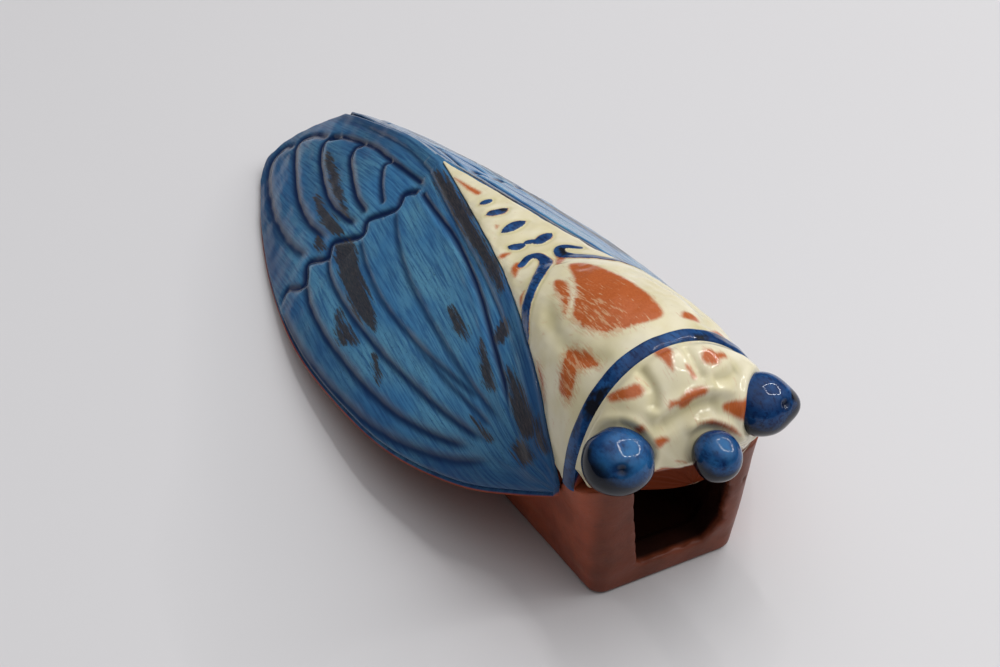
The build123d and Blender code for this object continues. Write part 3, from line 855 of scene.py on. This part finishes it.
def make_box():
    thing = fused("pocket_box", BOX_NODES, BOX_VOXEL, 0.2)
    mesh = thing.data
    co = np.array([v.co for v in mesh.vertices]) / MM
    normals = np.array([v.normal for v in mesh.vertices])
    x, y, z = co.T
    # Hand work: slow waves all over, and a torn, scalloped right edge of the mouth.
    low = smooth_step(0, 3, z)
    slow = wavy(y, z, 34, 41) * 0.22 + wavy(x + y, z, 9, 42) * 0.07
    co += normals * (slow * low)[:, None]
    slope = tan(radians(BOX_DRAFT))
    behind = y - (BOX_FRONT_Y - slope * z)
    edge = smooth_step(3.5, 0.5, behind)
    jamb = edge * smooth_step(4, 9, z) * smooth_step(41, 38, z)
    right = jamb * smooth_step(4, 8, x) * smooth_step(20, 14, x)
    co[:, 0] += right * (0.5 * np.sin(z * 0.55 + 0.5) + 0.25 * np.sin(z * 1.9 + 1))
    sill = edge * smooth_step(11, 7, z) * smooth_step(12, 8, np.abs(x)) * smooth_step(4, 6, z)
    co[:, 2] += sill * 0.25 * wavy(x, y, 4.0, 43)
    front = smooth_step(-86, -97, y)
    co[:, 2] += smooth_step(24, 39, z) * front * lip_lift(x)
    co[:, 0] += np.sign(x) * smooth_step(-22, -26, x) * smooth_step(28, 40, z) * front * CORNER_FLARE
    plan = np.interp(y, *np.array(BOX_HALF_WIDTH).T)
    deep = np.minimum(np.minimum(plan + slope * z - np.abs(x), BOX_TAIL_Y + slope * z - y), z)
    # dark paints the inside of the mouth near black: painted shade.
    tunnel = (np.abs(x) < 17.5) & (z > 6)
    dark = np.where(tunnel, smooth_step(1.1, 2.3, behind), 0) * smooth_step(2.0, 3.2, deep)
    dark = np.maximum(dark, smooth_step(3.4, 4.4, np.minimum(deep, behind)))
    # pit dents the clay; its dark colour is painted shade.
    pit = bump(np.linalg.norm(co - PIT_PLACE, axis=1), PIT_RADIUS)
    co -= normals * (PIT_DEPTH * pit)[:, None]
    mesh.vertices.foreach_set("co", (co * MM).ravel())
    # front marks the mouth's front face, which gets painted shade.
    for layer, values in (("inside", dark), ("front", smooth_step(4.0, 1.0, behind)), ("pit", pit)):
        mesh.attributes.new(layer, "FLOAT", "POINT").data.foreach_set("value", values.astype(np.float32))
    mesh.polygons.foreach_set("use_smooth", np.ones(len(mesh.polygons), bool))
    mesh.update()
    return thing


# ---------------------------------------------------------------------------------------------------
# Materials.
def linear(code):
    """A colour written as sRGB hexadecimal, as the shader wants it."""
    parts = [int(code[i : i + 2], 16) / 255 for i in (0, 2, 4)]
    return [c / 12.92 if c <= 0.04045 else ((c + 0.055) / 1.055) ** 2.4 for c in parts] + [1]


class Finish:
    """A material and short ways of adding nodes to it."""

    def __init__(self, name, roughness, coat=0.0, specular=0.5):
        self.material = bpy.data.materials.new(name)
        self.material.use_nodes = True
        self.nodes, self.links = self.material.node_tree.nodes, self.material.node_tree.links
        self.shader = next(n for n in self.nodes if n.type == "BSDF_PRINCIPLED")
        self.shader.inputs["Roughness"].default_value = roughness
        self.shader.inputs["IOR"].default_value = 1.5
        self.shader.inputs["Specular IOR Level"].default_value = specular
        self.shader.inputs["Coat Weight"].default_value = coat
        self.shader.inputs["Coat Roughness"].default_value = 0.03
        self.place = self.nodes.new("ShaderNodeTexCoord").outputs["Object"]

    def put(self, socket, value):
        if isinstance(value, bpy.types.NodeSocket):
            self.links.new(value, socket)
        else:
            socket.default_value = value

    def layer(self, name, output="Fac"):
        node = self.nodes.new("ShaderNodeAttribute")
        node.attribute_name = name
        return node.outputs[output]

    def scaled(self, vector, scale):
        node = self.nodes.new("ShaderNodeVectorMath")
        node.operation = "MULTIPLY"
        self.put(node.inputs[0], vector)
        node.inputs[1].default_value = scale
        return node.outputs["Vector"]

    def noise(self, vector, scale, detail=4.0, rough=0.55, warp=0.0):
        node = self.nodes.new("ShaderNodeTexNoise")
        self.put(node.inputs["Vector"], vector)
        node.inputs["Scale"].default_value = scale
        node.inputs["Detail"].default_value = detail
        node.inputs["Roughness"].default_value = rough
        node.inputs["Distortion"].default_value = warp
        return node.outputs["Fac"]

    def math(self, kind, a, b=0.0, c=0.0):
        node = self.nodes.new("ShaderNodeMath")
        node.operation = kind
        for socket, value in zip(node.inputs, (a, b, c)):
            self.put(socket, value)
        return node.outputs["Value"]

    def times(self, a, b):
        return self.math("MULTIPLY", a, b)

    def plus(self, a, b):
        return self.math("ADD", a, b)

    def centred(self, noise, amount):
        """Noise about zero: its difference from one half, times the amount."""
        return self.times(self.math("SUBTRACT", noise, 0.5), amount)

    def fade(self, value, low, high):
        """0 at low, 1 at high, smooth between; low may be above high."""
        node = self.nodes.new("ShaderNodeMapRange")
        node.interpolation_type = "SMOOTHSTEP"
        start, end, to_low, to_high = (low, high, 0.0, 1.0) if low < high else (high, low, 1.0, 0.0)
        self.put(node.inputs["Value"], value)
        for key, number in (("From Min", start), ("From Max", end), ("To Min", to_low), ("To Max", to_high)):
            node.inputs[key].default_value = number
        return node.outputs["Result"]

    def mix(self, share, a, b):
        node = self.nodes.new("ShaderNodeMix")
        node.data_type = "RGBA"
        self.put(node.inputs["Factor"], share)
        for socket, value in ((node.inputs[6], a), (node.inputs[7], b)):
            self.put(socket, linear(value) if isinstance(value, str) else value)
        return node.outputs[2]

    def finish(self, colour, height=None, depth=0.0, roughness=None):
        self.put(self.shader.inputs["Base Color"], colour)
        if roughness is not None:
            self.put(self.shader.inputs["Roughness"], roughness)
        if height is not None:
            node = self.nodes.new("ShaderNodeBump")
            node.inputs["Strength"].default_value = 1.0
            node.inputs["Distance"].default_value = depth * MM
            self.put(node.inputs["Height"], height)
            self.put(self.shader.inputs["Normal"], node.outputs["Normal"])
        return self.material


def clay_colour(f):
    """Bare terracotta: mottled, with fine grit."""
    blotch = f.noise(f.place, 45, 5, 0.6)
    grit = f.noise(f.place, 900, 3, 0.7)
    colour = f.mix(f.fade(blotch, 0.3, 0.7), "933f23", "a85232")
    return f.mix(f.times(f.fade(grit, 0.56, 0.72), 0.35), colour, "5f2f1f")


def wing_finish():
    f = Finish("wing_glaze", 0.14, 0.0, 0.2)
    flow = f.layer("flow", "Vector")
    streak = f.noise(f.scaled(flow, (1.1, 0.06, 1)), 1, 6, 0.62, 0.2)
    fine = f.noise(f.scaled(flow, (4.5, 0.35, 1)), 1, 4, 0.7)
    cloud = f.noise(f.scaled(flow, (0.06, 0.035, 1)), 1, 3, 0.5)
    hatch = f.noise(f.scaled(flow, (3.2, 0.55, 1)), 1, 3, 0.75, 0.6)
    colour = f.mix(f.fade(cloud, 0.35, 0.65), "4480b0", "609bbb")
    colour = f.mix(f.times(f.fade(streak, 0.40, 0.66), 0.8), colour, "2b588b")
    colour = f.mix(f.times(f.fade(fine, 0.48, 0.7), 0.3), colour, "55829c")
    # Darker glaze where deep is set: pooled glaze and painted shade.
    colour = f.mix(f.times(f.layer("deep"), 0.7), colour, "182f5c")
    dark = f.times(f.fade(hatch, 0.57, 0.66), f.fade(cloud, 0.40, 0.62))
    colour = f.mix(f.times(dark, 0.55), colour, "1c2838")
    # Lighter glaze along the raised crests is a painted highlight.
    crest_highlight = f.times(f.layer("crest"), f.fade(cloud, 0.30, 0.70))
    colour = f.mix(f.times(crest_highlight, 0.2), colour, "5b86a6")
    # The grooves are painted dark navy: pooled glaze and painted shade.
    colour = f.mix(f.fade(f.layer("groove"), 0.1, 1.05), colour, "0e2148")
    edge = f.plus(f.layer("dry"), f.centred(streak, 9.0))
    edge = f.plus(edge, f.centred(hatch, 3.5))
    patch = f.fade(edge, 0.8, -0.5)
    brown = f.mix(f.fade(fine, 0.4, 0.65), "2d2a2c", "4b423e")
    colour = f.mix(f.times(patch, 0.93), colour, brown)
    raw = f.layer("raw")
    colour = f.mix(f.fade(raw, 0.5, 0.95), colour, clay_colour(f))
    height = f.plus(streak, f.times(fine, 0.4))
    rough = f.plus(f.times(patch, 0.10), f.times(f.fade(raw, 0.5, 0.95), 0.35))
    return f.finish(colour, height, 0.04, f.plus(rough, 0.14))


def cobalt_colour(f, flow, tone=0.0):
    """Brushed cobalt, from mid blue through ink blue to near black."""
    wash = f.noise(flow, 0.16, 5, 0.6, 0.4)
    brush = f.noise(f.scaled(flow, (1.0, 0.35, 1)), 1.2, 4, 0.6)
    colour = f.mix(f.fade(wash, 0.35, 0.62), "235288", "143868")
    colour = f.mix(f.times(f.fade(brush, 0.45, 0.68), 0.8), colour, "0b1f48")
    return f.mix(f.fade(f.noise(flow, 0.11, 3, 0.6), 0.54 - tone, 0.66 - tone), colour, "15171f")


def cream_finish():
    f = Finish("cream_glaze", 0.05, 0.0, 0.42)
    flow = f.layer("flow", "Vector")
    streak = f.noise(f.scaled(flow, (1.2, 0.16, 1)), 1, 6, 0.7, 0.3)
    fine = f.noise(f.scaled(flow, (3.6, 1.0, 1)), 1, 4, 0.7)
    cloud = f.noise(flow, 0.09, 3, 0.5)
    colour = f.mix(f.fade(cloud, 0.35, 0.65), "dfd4ae", "e7dec1")
    # Darker greenish cream in the hollows: pooled glaze and painted shade.
    colour = f.mix(f.times(f.layer("pool_and_shade"), 0.55), colour, "c9bf8c")
    thin = f.times(f.fade(f.noise(flow, 0.35, 5, 0.65), 0.60, 0.74), 0.35)
    colour = f.mix(thin, colour, "cf9a70")
    specks = f.fade(f.noise(flow, 2.6, 2, 0.5), 0.735, 0.775)
    colour = f.mix(f.times(specks, 0.7), colour, "8a4a2c")
    drag = f.centred(streak, f.times(f.layer("brush"), 0.65))
    wobble = f.plus(drag, f.centred(fine, 1.5))
    bare = f.fade(f.plus(f.layer("bare"), wobble), 0.7, -0.9)
    drawn = f.math("MULTIPLY_ADD", f.layer("brush"), 0.018, streak)
    dragged = f.times(f.fade(f.layer("bare"), 3.0, 0.3), f.fade(drawn, 0.59, 0.68))
    bare = f.math("MAXIMUM", bare, f.times(dragged, 0.6))
    film = f.times(f.fade(drawn, 0.61, 0.68), 0.6)
    orange = f.mix(f.fade(fine, 0.35, 0.65), "bf6636", "b2592d")
    orange = f.mix(film, orange, "d8b188")
    # The bare clay at the lip is painted darker orange: painted shade.
    orange = f.mix(f.layer("lip"), orange, "662407")
    colour = f.mix(bare, colour, orange)
    ragged = f.plus(f.layer("mark"), f.centred(fine, 0.9))
    halo = f.times(f.fade(ragged, 0.55, 0.1), f.fade(cloud, 0.42, 0.6))
    colour = f.mix(f.times(halo, 0.7), colour, "a8643c")
    colour = f.mix(f.fade(ragged, 0.12, -0.12), colour, cobalt_colour(f, flow))
    raw = f.fade(f.layer("raw"), 0.5, 0.95)
    colour = f.mix(raw, colour, clay_colour(f))
    # Darker brown on the lip's bare and raw clay is painted shade.
    lip = f.times(f.layer("lip"), f.math("MAXIMUM", bare, raw))
    f.put(f.shader.inputs["Specular IOR Level"], f.math("MULTIPLY_ADD", lip, -0.34, 0.42))
    colour = f.mix(lip, colour, f.mix(f.fade(fine, 0.35, 0.65), "6f2c0e", "5a2009"))
    matt = f.math("MAXIMUM", raw, f.times(f.times(f.layer("lip"), bare), 1.8))
    rough = f.plus(f.times(bare, 0.05), f.times(matt, 0.45))
    return f.finish(colour, f.plus(cloud, f.times(streak, 0.25)), 0.10, f.plus(rough, 0.05))


def cobalt_finish():
    f = Finish("cobalt_glaze", 0.05, 0.0, 0.32)
    space = f.scaled(f.place, (1 / MM, 1 / MM, 1 / MM))
    colour = cobalt_colour(f, space, -0.02)
    mottle = f.fade(f.noise(space, 0.22, 3, 0.5), 0.30, 0.62)
    # A lighter blue on the middle of the left eye and the snout is painted light.
    colour = f.mix(f.times(f.layer("iris"), mottle), colour, "2f6ea2")
    # The near-black lower side is pooled glaze and painted shade.
    colour = f.mix(f.times(f.layer("low"), 0.95), colour, "070a14")
    colour = f.mix(f.times(f.layer("pupil"), 0.9), colour, "060a1e")
    raw = f.fade(f.layer("raw"), 0.5, 0.95)
    colour = f.mix(raw, colour, clay_colour(f))
    return f.finish(colour, f.noise(space, 0.16, 2, 0.4), 0.10, f.plus(f.times(raw, 0.4), 0.06))


def clay_finish():
    f = Finish("terracotta", 0.36, 0.06, 0.24)
    f.shader.inputs["Coat Roughness"].default_value = 0.22
    wear = f.noise(f.place, 70, 5, 0.65, 0.3)
    wipe = f.noise(f.scaled(f.place, (260, 60, 260)), 1, 4, 0.6)
    colour = f.mix(f.times(f.fade(wear, 0.42, 0.68), 0.6), clay_colour(f), "6f3520")
    colour = f.mix(f.times(f.fade(wipe, 0.5, 0.7), 0.22), colour, "a35f42")
    specks = f.fade(f.noise(f.place, 1500, 2, 0.5), 0.74, 0.78)
    colour = f.mix(f.times(specks, 0.7), colour, "3a2018")
    # The darker front face round the mouth is painted shade.
    colour = f.mix(f.times(f.layer("front"), 0.58), colour, "4a281b")
    # The pit's dark colour is painted shade.
    colour = f.mix(f.layer("pit"), colour, "2a1712")
    # The near-black inside of the box is painted shade.
    colour = f.mix(f.times(f.layer("inside"), 0.94), colour, "0b0706")
    height = f.plus(f.noise(f.place, 260, 4, 0.6), f.times(f.noise(f.place, 1600, 3, 0.6), 0.35))
    rough = f.plus(f.times(wear, 0.2), 0.32)
    return f.finish(colour, height, 0.14, rough)


# ---------------------------------------------------------------------------------------------------
# The floor, the light and the camera.
SKY_TOP = (0.30, -0.05, 1.0)
VIEW_AZIMUTH = -27.13
VIEW_ELEVATION = 39.16
VIEW_DISTANCE = 570.5
VIEW_CENTRE = (-10.0, -23.5, 30.0)
LENS = 72.0
SENSOR_WIDTH = 36.0
TENT_PLACE = (540, -90, 880)
TENT_TARGET = (0, -90, 60)
TENT_SIZE = 840
TENT_BAR = 12
TENT_STRENGTH = 70


def make_stage():
    half = 4000.0
    corners = [(-half, -half, 0), (half, -half, 0), (half, half, 0), (-half, half, 0)]
    floor = new_object("floor", corners, [(0, 1, 2, 3)])
    f = Finish("floor", 0.6)
    tone = f.noise(f.place, 2.0, 2, 0.5)
    floor.data.materials.append(f.finish(f.mix(tone, "d2d0d1", "d8d6d7")))


def glow(name, place, target, size, bar, strength):
    """The bright edge of a square light tent, which glazes mirror as a thin loop."""
    half = size / 2
    points, faces = [], []
    corners = 48
    for i in range(corners):
        turn = 2 * pi * i / corners
        reach = half / (abs(cos(turn)) ** 5 + abs(sin(turn)) ** 5) ** 0.2
        for grow in (reach - bar / 2, reach + bar / 2):
            points.append((grow * cos(turn), grow * sin(turn), 0))
        k, n = 2 * i, 2 * ((i + 1) % corners)
        faces.append((k, k + 1, n + 1, n))
    frame_mesh = new_object(name, points, faces)
    frame_mesh.location = Vector(place) * MM
    frame_mesh.rotation_euler = (Vector(target) - Vector(place)).to_track_quat("-Z", "Y").to_euler()
    material = bpy.data.materials.new(name)
    material.use_nodes = True
    shader = material.node_tree.nodes["Principled BSDF"]
    shader.inputs["Emission Color"].default_value = (1, 1, 1, 1)
    shader.inputs["Emission Strength"].default_value = strength
    frame_mesh.data.materials.append(material)
    frame_mesh.visible_camera = False


def make_light():
    """A bright soft sky straight above that falls off to a dim room, and the tent's bright edges."""
    world = bpy.data.worlds.new("room")
    world.use_nodes = True
    nodes, links = world.node_tree.nodes, world.node_tree.links
    back = nodes["Background"]
    back.inputs["Color"].default_value = (0.97, 0.98, 1.0, 1)
    turn = nodes.new("ShaderNodeVectorMath")
    turn.operation = "DOT_PRODUCT"
    links.new(nodes.new("ShaderNodeTexCoord").outputs["Generated"], turn.inputs[0])
    turn.inputs[1].default_value = Vector(SKY_TOP).normalized()
    fall = nodes.new("ShaderNodeMapRange")
    fall.interpolation_type = "SMOOTHSTEP"
    links.new(turn.outputs["Value"], fall.inputs["Value"])
    for key, number in (("From Min", 0.30), ("From Max", 0.95), ("To Min", 0.06), ("To Max", 1.03)):
        fall.inputs[key].default_value = number
    links.new(fall.outputs["Result"], back.inputs["Strength"])
    bpy.context.scene.world = world
    glow("tent_top", TENT_PLACE, TENT_TARGET, TENT_SIZE, TENT_BAR, TENT_STRENGTH)


def make_camera():
    data = bpy.data.cameras.new("camera")
    data.lens, data.sensor_width = LENS, SENSOR_WIDTH
    data.clip_start, data.clip_end = 0.01, 20
    camera = bpy.data.objects.new("camera", data)
    bpy.context.scene.collection.objects.link(camera)
    azimuth, elevation = radians(VIEW_AZIMUTH), radians(VIEW_ELEVATION)
    away = Vector((sin(azimuth) * cos(elevation), -cos(azimuth) * cos(elevation), sin(elevation)))
    camera.location = (Vector(VIEW_CENTRE) + away * VIEW_DISTANCE) * MM
    camera.rotation_euler = (-away).to_track_quat("-Z", "Y").to_euler()
    bpy.context.scene.camera = camera


# ---------------------------------------------------------------------------------------------------
# Everything together.
def place(pieces, slot, material):
    for thing, *nodes in pieces:
        thing.data.materials.clear()
        thing.data.materials.append(material)
        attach(thing, "root")
        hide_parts(*nodes)


cobalt = cobalt_finish()
place(make_wings(), "wing_glaze", wing_finish())
place(make_balls(), "cobalt_glaze", cobalt)
body = make_body()
place(body[1:] + make_head(), "cream_glaze", cream_finish())
place(body[:1], "cobalt_glaze", cobalt)
place([(make_box(), *BOX_NODES)], "terracotta", clay_finish())
make_stage()
make_light()
make_camera()
bpy.context.scene.view_settings.view_transform = "Standard"
